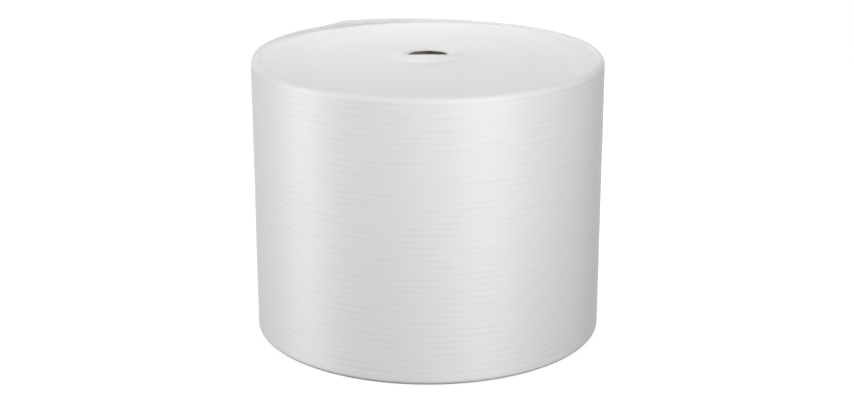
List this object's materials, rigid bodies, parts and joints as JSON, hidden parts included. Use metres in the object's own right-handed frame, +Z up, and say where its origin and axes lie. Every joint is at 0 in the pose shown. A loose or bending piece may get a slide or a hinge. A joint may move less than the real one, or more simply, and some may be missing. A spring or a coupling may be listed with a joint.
{
  "type": "foam wrap roll",
  "caption": "Large roll of white ribbed packing foam wound on a card core, standing on its end.",
  "frame": {"origin": "on the roll's axis, in the plane of the end that it stands on", "axes": "+Z up the roll's axis, -Y towards the viewer of the picture, +X to the viewer's right"},
  "size_m": [0.6273, 0.6283, 0.513],
  "materials": {
    "foam": "matte closed-cell foam",
    "card": "raw grey-brown board"
  },
  "bodies": {
    "root": {"foam_roll": "foam", "core_tube": "card"}
  },
  "joints": []
}
